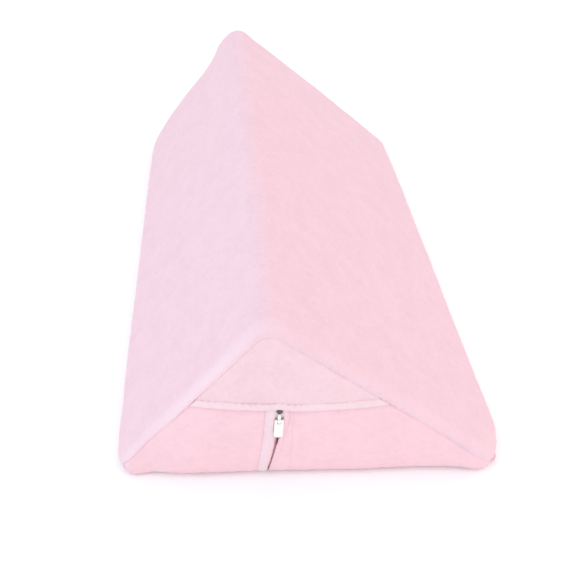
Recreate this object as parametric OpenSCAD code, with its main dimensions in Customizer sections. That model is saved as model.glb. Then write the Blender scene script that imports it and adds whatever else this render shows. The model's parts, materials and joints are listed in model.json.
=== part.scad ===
// Wedge cushion: a right-triangle foam block in a zip-off plush cover, lying on its widest face.
// X runs across the wedge, Y along it with the zip at the -Y end, Z up. Sizes are in millimetres.
// The origin is on the floor, at the middle of the whole part's box.
// A depth or an inset is measured inward from the cover's outer surface.

/* [Wedge] */
// Short leg of the triangle, the steep slope, between sharp corners
short_leg = 210; // [190:5:230]
// Long leg of the triangle, the shallow slope, between sharp corners
long_leg = 280; // [260:5:320]
// Length between the two end faces
wedge_l = 600; // [520:10:800]
// Outer radius along the ridge
ridge_r = 14; // [10:1:20]
// Outer radius along the foot of the steep slope
steep_toe_r = 12; // [10:1:16]
// Outer radius along the foot of the shallow slope
shallow_toe_r = 6; // [5:1:8]
// Outer radius where each end face turns under onto the base
end_edge_r = 12; // [11:1:16]

/* [Cover] */
// Thickness of the plush fabric
fabric_t = 2.5; // [2:0.1:2.5]
// How far the slope panel is turned in over each end face
roll_w = 10; // [8:0.5:11]
// Radius of the arched seams under the ridge
seam_ridge_r = 15; // [12:1:18]
// Gap left between neighbouring panels at a seam
seam_gap = 0.2; // [0.1:0.1:0.4]
// Height of the folded hem's lower edge above the floor
hem_z = 77; // [74:0.5:84]
// Height of the folded hem
hem_h = 6.5; // [6:0.5:8]
// How far the hem stands proud of the end face, and how far it reaches in
hem_proud = 1.2; // [0.8:0.1:1.3]
// Width of a seam allowance
allowance_w = 7; // [6:0.5:9]
// Thickness of an overlocked seam allowance
allowance_t = 1.2; // [0.8:0.1:1.3]

/* [Stitching] */
// Pitch of the visible stitches
stitch_pitch = 5; // [4:0.5:8]
// Length of a stitch
stitch_l = 3.2; // [2.5:0.1:3.5]
// Thickness of the thread
thread_d = 0.5; // [0.4:0.05:0.6]
// Distance of the placket stitching from the middle of the zip
placket_x = 11; // [9:0.5:13]

/* [Zip] */
// Distance of the zip from the middle of the box, towards the steep slope
zip_offset = 35; // [30:1:40]
// How far the zip runs along the base, from the end face
zip_under_l = 450; // [300:10:480]
// Width of each tape
tape_w = 14; // [13:0.5:16]
// Thickness of the tapes
tape_t = 0.6; // [0.4:0.05:0.65]
// Width of each coil
coil_w = 2.6; // [2.4:0.1:2.8]
// Thickness of the coils
coil_t = 2; // [1.8:0.1:2]
// How far the slider runs down from its closed place
slider_travel = 39; // [20:1:39]
// Length of the slider's body
slider_l = 11.5; // [10:0.5:12]
// Width of the slider's body
slider_w = 9.2; // [9:0.1:9.4]
// Length of the pull below its pin
pull_l = 17.5; // [15:0.5:23]
// Width of the pull
pull_w = 7.2; // [6:0.2:8]
// Thickness of the pull
pull_t = 1.3; // [1:0.1:1.4]
// Radius of the pull's pin
pin_r = 0.72; // [0.7:0.01:0.74]

/* [Hidden] */
$fn = 64;

lavender_pink = [0.93, 0.72, 0.82];
blush_pink = [0.95, 0.71, 0.79];
rose_pink = [0.96, 0.69, 0.78];
pale_pink = [0.94, 0.78, 0.86];
thread_pink = [0.93, 0.68, 0.78];
foam_cream = [0.95, 0.92, 0.82];
slider_white = [0.90, 0.87, 0.84];
gunmetal = [0.30, 0.27, 0.29];

// The section is a right triangle standing on its longest side.
base_w = sqrt(short_leg * short_leg + long_leg * long_leg);
steep = acos(short_leg / base_w);
shallow = 90 - steep;
rise = short_leg * long_leg / base_w;

// The two toes are rounded differently, so the triangle is moved to centre its rounded outline.
left_trim = steep_toe_r / tan(steep / 2) - steep_toe_r;
right_trim = shallow_toe_r / tan(shallow / 2) - shallow_toe_r;
steep_toe = [-base_w / 2 - (left_trim - right_trim) / 2, 0];
shallow_toe = [steep_toe[0] + base_w, 0];
ridge = [steep_toe[0] + short_leg * cos(steep), rise];

// Side seams lie on the base, where the toes' curves meet it.
side_seam_left = steep_toe[0] + steep_toe_r / tan(steep / 2);
side_seam_right = shallow_toe[0] - shallow_toe_r / tan(shallow / 2);

// Clearances of the zip, and the depths of its layers.
slip = 0.2;
lip_gap = 0.45;
coil_gap = 0.5;
tape_depth = fabric_t + slip;
coil_depth = tape_depth + tape_t + 0.1;
coil_back = coil_depth + coil_t;
plate_t = 1.2;
front_plate_depth = tape_depth - slip - plate_t;
back_plate_depth = coil_back + 0.3;
back_plate_end = back_plate_depth + plate_t;
neck_w = 0.7;
channel_w = slider_w + 1.2;
flange_t = 0.7;

// The zip's heights on the end face, from the hem downward.
zip_x = -zip_offset;
stop_h = 2.4;
stop_z = hem_z - 0.4 - stop_h;
slider_top = stop_z - 0.3;
slider_foot = slider_top - slider_l;
channel_foot = slider_foot - slider_travel - 1.5;

// The pull's pin lies in the slider's bridge, out in front of the end face.
pin_bore_r = 0.8;
pin_out = 1.2;
bridge_w = 2.4;
bridge_r = 1.9;
pin_z = slider_foot + 5;
bridge_top = slider_top - 1.5;
proud = pin_out + bridge_r;

// The end faces are placed so that the box, with the bridge, is centred on the origin.
near_y = -wedge_l / 2 + proud / 2;
far_y = near_y + wedge_l;
zip_end_y = near_y + zip_under_l;

// Reach is a length that takes in the whole part in any direction.
reach = 2 * (wedge_l + base_w);
corner_steps = 8;

// Points along an arc, from one angle to another.
function arc(centre, r, from, to) =
    [for (i = [0:corner_steps]) let (a = from + (to - from) * i / corner_steps)
        centre + r * [cos(a), sin(a)]];

// Centre of a circle of radius r that fits into a corner, from its bisector and half its angle.
function corner_centre(corner, bisector, half, r) =
    corner + r / sin(half) * [cos(bisector), sin(bisector)];

// Arc that rounds the ridge with radius r when inset is 0, moved inward by inset.
function ridge_arc(r, inset) =
    arc(corner_centre(ridge, 270 + (steep - shallow) / 2, 45, r), r - inset,
        90 - shallow, 90 + steep);

// Places on the slopes, moved inward by inset, at height z.
function steep_x(z, inset) = steep_toe[0] + z / tan(steep) + inset / sin(steep);
function shallow_x(z, inset) = shallow_toe[0] - z / tan(shallow) - inset / sin(shallow);

// Rounded triangle across the wedge, moved inward by inset.
module section(inset) {
    polygon(concat(
        arc(corner_centre(steep_toe, steep / 2, steep / 2, steep_toe_r),
            steep_toe_r - inset, 90 + steep, 270),
        arc(corner_centre(shallow_toe, 180 - shallow / 2, shallow / 2, shallow_toe_r),
            shallow_toe_r - inset, -90, 90 - shallow),
        ridge_arc(ridge_r, inset)));
}

// Outline of an end face inside its arched seam, open towards the base.
module arch(inset) {
    intersection() {
        polygon(concat([[steep_x(-5, inset), -5], [shallow_x(-5, inset), -5]],
            ridge_arc(roll_w + seam_ridge_r, inset)));
        translate([side_seam_left + seam_gap / 2, -reach / 2])
            square([side_seam_right - side_seam_left - seam_gap, reach]);
    }
}

// Length profile of the wedge, with its ends turned under, moved inward by inset.
module side_profile(inset) {
    r = end_edge_r - inset;
    polygon(concat(
        [[near_y + inset, 2 * rise]],
        arc([near_y + end_edge_r, end_edge_r], r, 180, 270),
        arc([far_y - end_edge_r, end_edge_r], r, 270, 360),
        [[far_y - inset, 2 * rise]]));
}

// A layer of the near end's profile, from one depth to another, that runs from the height top
// down the end face, round its lower edge and along the base as far as y_end.
module wrap_profile(from, to, top, y_end) {
    intersection() {
        difference() {
            side_profile(from);
            side_profile(to);
        }
        translate([near_y - 10, -10])
            square([y_end - near_y + 10, top + 10]);
    }
}

// Extrudes a shape drawn in X and Z along the wedge.
module along_y(y0, y1) {
    translate([0, y1, 0])
        rotate([90, 0, 0])
            linear_extrude(y1 - y0)
                children();
}

// Extrudes a shape drawn in Y and Z across the wedge.
module along_x(x0, x1) {
    translate([x0, 0, 0])
        rotate([90, 0, 90])
            linear_extrude(x1 - x0)
                children();
}

// Box from one corner to the opposite one.
module block(low, high) {
    translate(low)
        cube(high - low);
}

// The whole rounded wedge, moved inward by inset.
module wedge(inset) {
    intersection() {
        along_y(near_y - 1, far_y + 1)
            section(inset);
        along_x(-reach, reach)
            side_profile(inset);
    }
}

// Band of seam allowance that lies on the inside of the cover along an arched seam.
module arch_band(y0, y1, widen) {
    along_y(y0, y1)
        intersection() {
            difference() {
                arch(roll_w - widen);
                arch(roll_w + allowance_w + widen);
            }
            translate([-reach, end_edge_r + 2 - widen])
                square(2 * reach);
        }
}

// Seam allowances inside the cover. Widen enlarges them, for the grooves they press into the foam.
module front_allowance(widen) {
    arch_band(near_y + fabric_t + 0.1 - widen, near_y + fabric_t + 0.1 + allowance_t + widen, widen);
}

module rear_allowance(widen) {
    arch_band(far_y - fabric_t - 0.1 - allowance_t - widen, far_y - fabric_t - 0.1 + widen, widen);
}

module base_allowance(x, y0, y1, widen) {
    block([x - allowance_w / 2 - widen, y0 - widen, fabric_t + 0.1 - widen],
        [x + allowance_w / 2 + widen, y1 + widen, fabric_t + 0.1 + allowance_t + widen]);
}

module side_allowances(widen) {
    y0 = near_y + end_edge_r + 3;
    y1 = far_y - end_edge_r - 3;
    base_allowance(side_seam_left + allowance_w / 2, y0, y1, widen);
    base_allowance(side_seam_right - allowance_w / 2, y0, y1, widen);
}

module centre_allowance(widen) {
    base_allowance(zip_x, zip_end_y + 3, far_y - end_edge_r - 3, widen);
}

// Firm foam block that fills the cover, pressed in along the zip and the seams.
module foam_core() {
    color(foam_cream)
        difference() {
            wedge(fabric_t + slip);
            along_x(zip_x - tape_w - 2, zip_x + tape_w + 2)
                wrap_profile(0, coil_back + 0.2, hem_z + hem_h + 1, zip_end_y + 2);
            along_x(zip_x - slider_w / 2 - 1, zip_x + slider_w / 2 + 1)
                wrap_profile(0, back_plate_end + 0.3, hem_z, zip_end_y + 2);
            front_allowance(0.15);
            rear_allowance(0.15);
            side_allowances(0.15);
            centre_allowance(0.15);
        }
}

// One panel over both slopes and the ridge, turned in over the ends and under the toes.
module top_panel() {
    color(lavender_pink)
        difference() {
            wedge(0);
            wedge(fabric_t);
            along_y(near_y - 10, far_y + 10)
                arch(roll_w);
            block([side_seam_left, near_y - 10, -10],
                [side_seam_right, far_y + 10, fabric_t + 1]);
        }
}

// Triangle that closes the near end, above the hem.
module front_gusset() {
    color(blush_pink)
        along_y(near_y, near_y + fabric_t)
            intersection() {
                arch(roll_w + seam_gap);
                translate([-reach, hem_z + hem_h + seam_gap])
                    square(2 * reach);
            }
}

// The gusset's folded lower edge, lapped over the zip's head and the lower panels.
module front_hem_band() {
    color(pale_pink)
        difference() {
            along_y(near_y - hem_proud, near_y + hem_proud)
                intersection() {
                    arch(roll_w + seam_gap);
                    translate([-reach, hem_z])
                        square([2 * reach, hem_h]);
                }
            for (x = hem_stitch_places())
                hem_stitch(x, 0.15);
        }
}

// Triangle that closes the far end and turns under onto the base.
module rear_gusset() {
    color(blush_pink)
        intersection() {
            along_x(-reach, reach)
                intersection() {
                    difference() {
                        side_profile(0);
                        side_profile(fabric_t);
                    }
                    translate([far_y - end_edge_r, -10])
                        square([end_edge_r + 10, reach]);
                }
            along_y(near_y, far_y + 10)
                arch(roll_w + seam_gap);
        }
}

// Panel of the base and the lower near end, on one side of the zip. x0 and x1 bound it.
module base_panel(x0, x1) {
    difference() {
        intersection() {
            along_x(x0, x1)
                wrap_profile(0, fabric_t, hem_z + hem_h, far_y - end_edge_r - seam_gap);
            along_y(near_y - 10, far_y + 10)
                arch(roll_w + seam_gap);
        }
        zip_channel();
        hem_lap();
        stitch_grooves();
    }
}

// Open way in which the slider runs down the end face.
module zip_channel() {
    block([zip_x - channel_w / 2, near_y - 10, channel_foot],
        [zip_x + channel_w / 2, near_y + end_edge_r, hem_z + hem_h + 10]);
}

// Room for the hem on the lower panels' top edge.
module hem_lap() {
    block([-reach, near_y - 10, hem_z - 0.1], [reach, near_y + hem_proud + 0.1, reach]);
}

// Furrows that the placket stitching pulls into the fabric.
module stitch_grooves() {
    for (side = [-1, 1])
        along_x(zip_x + side * placket_x - 0.6, zip_x + side * placket_x + 0.6)
            wrap_profile(-1, thread_d + 0.4, hem_z + hem_h, zip_end_y + 8);
}

module base_panel_left() {
    color(rose_pink)
        base_panel(-reach, zip_x - lip_gap);
}

module base_panel_right() {
    color(rose_pink)
        base_panel(zip_x + lip_gap, reach);
}

// One tape of the zip. Side is -1 for the steep slope's side and 1 for the other.
module zip_tape(side) {
    inner = zip_x + side * (coil_gap + 0.1);
    outer = zip_x + side * tape_w;
    along_x(min(inner, outer), max(inner, outer))
        wrap_profile(tape_depth, tape_depth + tape_t, hem_z + hem_h - 1, zip_end_y);
}

module zip_tape_left() {
    color(pale_pink)
        zip_tape(-1);
}

module zip_tape_right() {
    color(pale_pink)
        zip_tape(1);
}

// One row of the coil, sewn to the inside of its tape.
module zip_coil(side) {
    inner = zip_x + side * coil_gap;
    outer = zip_x + side * (coil_gap + coil_w);
    along_x(min(inner, outer), max(inner, outer))
        wrap_profile(coil_depth, coil_back, stop_z - 0.1, zip_end_y - 6);
}

module zip_coil_left() {
    color(pale_pink)
        zip_coil(-1);
}

module zip_coil_right() {
    color(pale_pink)
        zip_coil(1);
}

// Metal stop across both tapes at the zip's head.
module zip_top_stop() {
    color(gunmetal) {
        block([zip_x - 1.9, near_y + 0.6, stop_z],
            [zip_x + 1.9, near_y + tape_depth - 0.1, stop_z + stop_h]);
        block([zip_x - neck_w / 2, near_y + tape_depth - 0.1, stop_z],
            [zip_x + neck_w / 2, near_y + coil_depth + 0.3, stop_z + stop_h]);
        block([zip_x - 1.9, near_y + coil_depth + 0.3, stop_z],
            [zip_x + 1.9, near_y + coil_depth + 1.3, stop_z + stop_h]);
    }
}

// Metal stop across both tapes at the zip's far end, inside the cover.
module zip_bottom_stop() {
    y0 = zip_end_y - 5.5;
    y1 = zip_end_y - 2.5;
    color(gunmetal) {
        block([zip_x - neck_w / 2, y0, tape_depth], [zip_x + neck_w / 2, y1, coil_depth + 0.3]);
        block([zip_x - 3.2, y0, coil_depth + 0.3], [zip_x + 3.2, y1, coil_depth + 1.8]);
    }
}

// Plate of the slider, between two depths, with its foot narrowed.
module slider_plate(from, to) {
    half = slider_w / 2;
    along_y(near_y + from, near_y + to)
        polygon([
            [zip_x - half + 1.2, slider_foot], [zip_x + half - 1.2, slider_foot],
            [zip_x + half, slider_foot + 3], [zip_x + half, slider_top - 2],
            [zip_x + half - 2, slider_top], [zip_x - half + 2, slider_top],
            [zip_x - half, slider_top - 2], [zip_x - half, slider_foot + 3]]);
}

// Slider: a plate in front of the tapes and one behind the coils, joined by a neck, with a
// flange along each side of the back plate and a bridge in front for the pull's pin.
module zip_slider() {
    color(slider_white) {
        slider_plate(front_plate_depth, front_plate_depth + plate_t);
        slider_plate(back_plate_depth, back_plate_end);
        block([zip_x - neck_w / 2, near_y + front_plate_depth + 0.5, slider_top - 4],
            [zip_x + neck_w / 2, near_y + back_plate_depth + 0.5, slider_top - 0.5]);
        for (side = [-1, 1]) {
            outer = zip_x + side * slider_w / 2;
            inner = outer - side * flange_t;
            block([min(inner, outer), near_y + coil_depth + 0.2, slider_foot + 3.2],
                [max(inner, outer), near_y + back_plate_depth + 0.5, slider_top - 2.2]);
        }
        slider_bridge();
    }
}

// Bridge on the slider's front plate, bored across for the pull's pin.
module slider_bridge() {
    difference() {
        along_x(zip_x - bridge_w / 2, zip_x + bridge_w / 2)
            union() {
                translate([near_y - pin_out, pin_z])
                    circle(bridge_r);
                polygon([
                    [near_y - pin_out, pin_z - bridge_r],
                    [near_y + front_plate_depth + 0.5, pin_z - bridge_r],
                    [near_y + front_plate_depth + 0.5, bridge_top],
                    [near_y + 0.4, bridge_top],
                    [near_y - pin_out, pin_z + bridge_r]]);
            }
        translate([zip_x, near_y - pin_out, pin_z])
            rotate([0, 90, 0])
                cylinder(r = pin_bore_r, h = 3 * bridge_w, center = true);
    }
}

// Pull: a plate with rounded ends, forked round the bridge, on a pin that turns in it.
module zip_pull() {
    fork_w = bridge_w + 0.6;
    fork_top = 1.1;
    fork_foot = bridge_r + 1.1;
    foot_r = 2.4;
    color(slider_white) {
        along_y(near_y - pin_out - pull_t / 2, near_y - pin_out + pull_t / 2)
            difference() {
                translate([zip_x, pin_z])
                    union() {
                        translate([-pull_w / 2, -pull_l + foot_r])
                            square([pull_w, pull_l - foot_r + fork_top]);
                        translate([-pull_w / 2 + foot_r, -pull_l])
                            square([pull_w - 2 * foot_r, foot_r + 1]);
                        for (side = [-1, 1])
                            translate([side * (pull_w / 2 - foot_r), -pull_l + foot_r])
                                circle(foot_r);
                    }
                translate([zip_x - fork_w / 2, pin_z - fork_foot])
                    square([fork_w, fork_foot + fork_top + 1]);
            }
        translate([zip_x, near_y - pin_out, pin_z])
            rotate([0, 90, 0])
                cylinder(r = pin_r, h = fork_w + 1, center = true);
    }
}

// Middle places of the hem's stitches, clear of the zip.
function hem_stitch_places() =
    let (z = hem_z + hem_h - 1.5, x0 = steep_x(z, roll_w) + 6, x1 = shallow_x(z, roll_w) - 6,
        n = floor((x1 - x0) / stitch_pitch))
    [for (i = [0:n]) x0 + (i + 0.5) * (x1 - x0) / (n + 1)];

// One stitch along the hem. Widen enlarges it, for the dent that it pulls into the fabric.
module hem_stitch(x, widen) {
    z = hem_z + hem_h - 1.5;
    block([x - stitch_l / 2 - widen, near_y - hem_proud - 0.05 - widen, z - thread_d / 2 - widen],
        [x + stitch_l / 2 + widen, near_y - hem_proud + thread_d + widen, z + thread_d / 2 + widen]);
}

module hem_stitching() {
    color(thread_pink)
        for (x = hem_stitch_places())
            hem_stitch(x, 0);
}

// Two rows of stitches that hold the tapes, sunk in their furrows on the end face and the base.
module placket_stitching() {
    face_n = floor((hem_z - end_edge_r - 2) / stitch_pitch);
    base_n = floor((zip_under_l - end_edge_r - 2) / stitch_pitch);
    color(thread_pink)
        for (side = [-1, 1])
            translate([zip_x + side * placket_x - thread_d / 2, near_y, 0]) {
                for (i = [0:face_n - 1])
                    translate([0, 0.2, end_edge_r + 1 + i * stitch_pitch])
                        cube([thread_d, thread_d, stitch_l]);
                for (i = [0:base_n - 1])
                    translate([0, end_edge_r + 1 + i * stitch_pitch, 0.2])
                        cube([thread_d, stitch_l, thread_d]);
                translate([0, end_edge_r, end_edge_r])
                    rotate([45, 0, 0])
                        translate([0, -end_edge_r + 0.3, -stitch_l / 2])
                            cube([thread_d, thread_d, stitch_l]);
            }
}

module front_seam_overlock() {
    color(thread_pink)
        front_allowance(0);
}

module rear_seam_overlock() {
    color(thread_pink)
        rear_allowance(0);
}

module side_seam_overlocks() {
    color(thread_pink)
        side_allowances(0);
}

module base_centre_overlock() {
    color(thread_pink)
        centre_allowance(0);
}

foam_core();
top_panel();
front_gusset();
front_hem_band();
base_panel_left();
base_panel_right();
rear_gusset();
zip_tape_left();
zip_tape_right();
zip_coil_left();
zip_coil_right();
zip_top_stop();
zip_bottom_stop();
zip_slider();
zip_pull();
hem_stitching();
placket_stitching();
front_seam_overlock();
rear_seam_overlock();
side_seam_overlocks();
base_centre_overlock();
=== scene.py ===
"""A wedge cushion in a zip-off plush cover: its looks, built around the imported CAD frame."""

import json
import math

import bpy
import numpy as np
from mathutils import Matrix, Vector


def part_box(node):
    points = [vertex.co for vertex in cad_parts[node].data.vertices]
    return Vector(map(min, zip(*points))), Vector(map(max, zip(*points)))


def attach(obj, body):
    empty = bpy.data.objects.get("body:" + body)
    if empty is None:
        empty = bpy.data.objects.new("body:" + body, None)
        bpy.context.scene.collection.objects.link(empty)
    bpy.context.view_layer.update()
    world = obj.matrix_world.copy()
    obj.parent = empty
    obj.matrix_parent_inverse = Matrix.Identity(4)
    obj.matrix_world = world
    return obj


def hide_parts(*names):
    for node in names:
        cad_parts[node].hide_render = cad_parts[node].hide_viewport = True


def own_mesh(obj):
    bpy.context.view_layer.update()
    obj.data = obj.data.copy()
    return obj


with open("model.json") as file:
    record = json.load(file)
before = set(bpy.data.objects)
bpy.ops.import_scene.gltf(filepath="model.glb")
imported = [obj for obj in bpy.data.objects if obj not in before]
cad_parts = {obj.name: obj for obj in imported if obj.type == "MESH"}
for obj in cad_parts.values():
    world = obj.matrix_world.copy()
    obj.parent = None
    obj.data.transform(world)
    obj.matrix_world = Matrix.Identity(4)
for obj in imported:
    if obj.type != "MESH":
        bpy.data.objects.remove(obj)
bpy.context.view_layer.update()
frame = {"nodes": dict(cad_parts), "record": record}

MM = 0.001

# ---- Places and sizes, in metres, worked out from the frame ----

TOP_LOW, TOP_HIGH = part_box("top_panel")
SLIDER_LOW, SLIDER_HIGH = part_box("zip_slider")
HEM_LOW, HEM_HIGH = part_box("front_hem_band")
TAPE_LOW, TAPE_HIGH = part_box("zip_tape_left")
STOP_LOW, STOP_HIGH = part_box("zip_top_stop")
SIDE_SEAM_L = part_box("base_panel_left")[0].x
SIDE_SEAM_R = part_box("base_panel_right")[1].x

NEAR = TOP_LOW.y
FAR = TOP_HIGH.y
ZIP_X = (SLIDER_LOW.x + SLIDER_HIGH.x) / 2
ZIP_END = TAPE_HIGH.y
HEM_Z = HEM_LOW.z
HEM_TALL = HEM_HIGH.z - HEM_LOW.z

TOE_L = SIDE_SEAM_L - TOP_LOW.x
TOE_R = TOP_HIGH.x - SIDE_SEAM_R
RIDGE_R = 14 * MM
EDGE_R = 12 * MM            # where the end faces turn under onto the base

SEAM_IN_LEFT = 6.5 * MM     # how far the arched seams lie inside the steep slope at its foot
SEAM_IN_TOP = 9.5 * MM      # and this far at its top
SEAM_IN_RIGHT = 10.5 * MM   # and this far inside the shallow slope
SEAM_RIDGE_R = 14 * MM
SIDE_TURN_R = 5.6 * MM      # how tightly the end faces turn under at the side seams
ROLL_R = 7.0 * MM           # how far back the slope panel's rolled edge starts
CURL_R = 2.0 * MM           # how far from a seam the fabric starts to dip towards it
CURL_DEEP = 0.9 * MM        # how deep it dips
FLANGE = 4.0 * MM           # how far a panel's edge turns in
CLOTH = 2.0 * MM            # thickness of the plush

EDGE_SINK = 1.4 * MM        # how far the arched seam lies behind the middle of the end face
EDGE_REACH = 45 * MM
FOOT_SINK = 1.5 * MM        # how far the end face leans in at its foot
FOOT_REACH = 35 * MM
FADE = 90 * MM              # how far along the slopes the end faces' shape is felt

# Radius in plan of the four corners at the toes, by end and side
CORNER_R = {("near", "left"): 18 * MM, ("near", "right"): 30 * MM,
            ("far", "left"): 42 * MM, ("far", "right"): 6 * MM}

# How far the end face stands out beside each corner
CORNER_PUSH = {("near", "left"): -3.6 * MM, ("near", "right"): 3.0 * MM,
               ("far", "left"): 0.0, ("far", "right"): 3.0 * MM}

CORNER_PINCH = 3.2 * MM     # how far the near right toe is drawn in

PLACKET = 11 * MM           # stitch line on each side of the zip
LIP_THICK = 1.2 * MM
LIP_TUCK = 0.8 * MM         # how far its outer edge is tucked under the lower panel
LIP_SPLIT_Z = 22 * MM       # below this the lips stay closed
SLIT_LEAN = 5.6 * MM        # how far the slit leans to the left at the foot
LINE_LEAN = 3.4 * MM        # and how far the stitch line on its left does


def smooth(t):
    """Smooth step from 0 to 1."""
    t = np.clip(t, 0, 1)
    return t * t * (3 - 2 * t)


def unit(vectors):
    """Vectors scaled to length 1."""
    return vectors / np.maximum(np.linalg.norm(vectors, axis=-1, keepdims=True), 1e-12)


def lengths(points):
    """Distance along a path at each of its points."""
    return np.concatenate([[0], np.cumsum(np.linalg.norm(np.diff(points, axis=0), axis=1))])


def between(places, along, table):
    """Rows of a table read at places along it."""
    return np.stack([np.interp(places, along, column) for column in np.asarray(table).T], -1)


# ---- The section across the wedge: a triangle with rounded corners, in X and Z ----

def slope(name):
    """A point on a slope and its outward normal, in X and Z."""
    mount = next(m for m in frame["record"]["mounts"] if m["name"] == name)
    return np.array(mount["pos_m"])[[0, 2]], np.array(mount["axis"])[[0, 2]]


LEFT_POINT, LEFT_NORMAL = slope("short_slope_face")
RIGHT_POINT, RIGHT_NORMAL = slope("long_slope_face")
LEFT_ANGLE = math.atan2(LEFT_NORMAL[1], LEFT_NORMAL[0])
RIGHT_ANGLE = math.atan2(RIGHT_NORMAL[1], RIGHT_NORMAL[0])
ARC = 65                    # points on each rounded corner of the outline
TOE_L_AT = np.array([SIDE_SEAM_L, TOE_L])
TOE_R_AT = np.array([SIDE_SEAM_R, TOE_R])
RIDGE_AT = np.linalg.solve(
    np.array([LEFT_NORMAL, RIGHT_NORMAL]),
    np.array([LEFT_NORMAL @ LEFT_POINT, RIGHT_NORMAL @ RIGHT_POINT]) - RIDGE_R,
)


def section_table():
    """Distance along the outline, its points and its outward normals, from the left side seam
    over the ridge to the right side seam."""
    corners = (
        (TOE_L_AT, TOE_L, 1.5 * math.pi, LEFT_ANGLE),
        (RIDGE_AT, RIDGE_R, LEFT_ANGLE, RIGHT_ANGLE),
        (TOE_R_AT, TOE_R, RIGHT_ANGLE, -0.5 * math.pi),
    )
    points, normals = [], []
    for centre, radius, start, end in corners:
        angles = np.linspace(start, end, ARC)
        normals.append(np.stack([np.cos(angles), np.sin(angles)], -1))
        points.append(centre + radius * normals[-1])
    points = np.concatenate(points)
    return lengths(points), points, np.concatenate(normals)


SEC_S, SEC_P, SEC_N = section_table()
SEC_LENGTH = SEC_S[-1]
TOE_L_END, RIDGE_START, RIDGE_END, TOE_R_START = SEC_S[[ARC - 1, ARC, 2 * ARC - 1, 2 * ARC]]


def slope_line(point, normal, inset_low, inset_high):
    """Two points of a slope's line moved inward by an inset that changes with height."""
    along = np.array([normal[1], -normal[0]])
    reach = 0.09 / abs(along[1])
    ends = (point - reach * along, point + reach * along)
    low, high = sorted(ends, key=lambda end: end[1])
    return low - inset_low * normal, high - inset_high * normal


def seam_table():
    """The arched seam, from the left corner over the top to the right one: places along the
    outline, and the seam's point in X and Z for each."""
    left_low, left_high = slope_line(LEFT_POINT, LEFT_NORMAL, SEAM_IN_LEFT, SEAM_IN_TOP)
    right_low, right_high = slope_line(RIGHT_POINT, RIGHT_NORMAL, SEAM_IN_RIGHT, SEAM_IN_RIGHT)
    left_way, right_way = unit(left_high - left_low), unit(right_low - right_high)
    cross = np.linalg.solve(np.array([left_way, -right_way]).T, right_high - left_high)
    corner = left_high + cross[0] * left_way
    turn = math.acos(float(np.clip(left_way @ right_way, -1, 1)))
    tangent = SEAM_RIDGE_R * math.tan(turn / 2)
    start = corner - tangent * left_way
    centre = start + SEAM_RIDGE_R * np.array([left_way[1], -left_way[0]])
    foot_right = right_high + (right_high[1] - SIDE_TURN_R) / -right_way[1] * right_way
    keys = [(SEC_S[k], TOE_L_AT + (TOE_L - SEAM_IN_LEFT) * SEC_N[k]) for k in range(ARC)]
    for t in np.linspace(0, 1, 33):
        angle = math.atan2(*(start - centre)[::-1]) - turn * t
        point = centre + SEAM_RIDGE_R * np.array([math.cos(angle), math.sin(angle)])
        spread = 0.5 + 1.9 * (t - 0.5)
        keys.append((RIDGE_START + (RIDGE_END - RIDGE_START) * spread, point))
    keys.append((TOE_R_START, foot_right))
    keys.append((SEC_LENGTH, foot_right + np.array([2.5 * MM, -1.2 * MM])))
    places, points = (np.array(column) for column in zip(*keys))
    places = np.maximum.accumulate(places + 1e-9 * np.arange(len(places)))
    fine = np.sort(np.concatenate([np.linspace(0, SEC_LENGTH, 700), places]))
    return fine, between(fine, places, points)


SEAM_S, SEAM_P = seam_table()
APEX = int(np.argmax(SEAM_P[:, 1]))
ARCH_TOP = SEAM_P[APEX, 1]


def section(s):
    """Points and outward normals of the outline at distances s along it."""
    return between(s, SEC_S, SEC_P), unit(between(s, SEC_S, SEC_N))


def arch_left(z):
    """X of the arched seam on the steep side, at height z."""
    return np.interp(z, SEAM_P[:APEX + 1, 1], SEAM_P[:APEX + 1, 0])


def arch_right(z):
    """X of the arched seam on the shallow side, at height z."""
    return np.interp(z, SEAM_P[APEX:, 1][::-1], SEAM_P[APEX:, 0][::-1])


def over_arch(z, share):
    """X at a share of the way from the arched seam's left side to its right, at height z."""
    return arch_left(z) + (arch_right(z) - arch_left(z)) * share


def seam_distance(x, z):
    """Distance from points of an end face to the arched seam."""
    x, z = np.broadcast_arrays(x, z)
    points = np.stack([x, z], -1)[..., None, :]
    start, way = SEAM_P[:-1], np.diff(SEAM_P, axis=0)
    share = np.sum((points - start) * way, -1) / np.maximum(np.sum(way * way, -1), 1e-15)
    nearest = start + np.clip(share, 0, 1)[..., None] * way
    return np.min(np.linalg.norm(points - nearest, axis=-1), axis=-1)


def round_over(d, r):
    """Depth of a rounding of radius r at distance d from an edge."""
    return r - np.sqrt(np.maximum(r ** 2 - np.maximum(r - d, 0) ** 2, 0))


def corner_sink(x, end="near"):
    """How far an end face's rounded lower corners lie behind its foremost plane, by X."""
    total = np.zeros(np.shape(x))
    for side, d in (("left", x - TOP_LOW.x), ("right", TOP_HIGH.x - x)):
        d = np.maximum(d, 0)
        total = total + round_over(d, CORNER_R[end, side])
        total = total - CORNER_PUSH[end, side] * np.exp(-((d - 28 * MM) / (16 * MM)) ** 2)
    return total


def foot_sink(z):
    """How far an end face leans in near its foot."""
    return FOOT_SINK * (1 - np.clip(z / FOOT_REACH, 0, 1)) ** 2


def end_sink(x, z, end="near"):
    """How far an end face lies behind its foremost plane."""
    edge = EDGE_SINK * (1 - np.minimum(seam_distance(x, z) / EDGE_REACH, 1)) ** 2.4
    return edge + foot_sink(z) + corner_sink(x, end)


def near_sink(x, y, z):
    """How far the near end's shape moves a point of a panel that wraps round its foot."""
    return end_sink(x, z) * np.clip(1 - (y - NEAR) / FADE, 0, 1) ** 2


def pinched(x, back):
    """X after the near right toe is drawn in; back is the distance behind the end face."""
    pinch = CORNER_PINCH * np.exp(-(back / (24 * MM)) ** 2)
    return x - pinch * smooth((x - TOP_HIGH.x) / (30 * MM) + 1)


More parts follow.
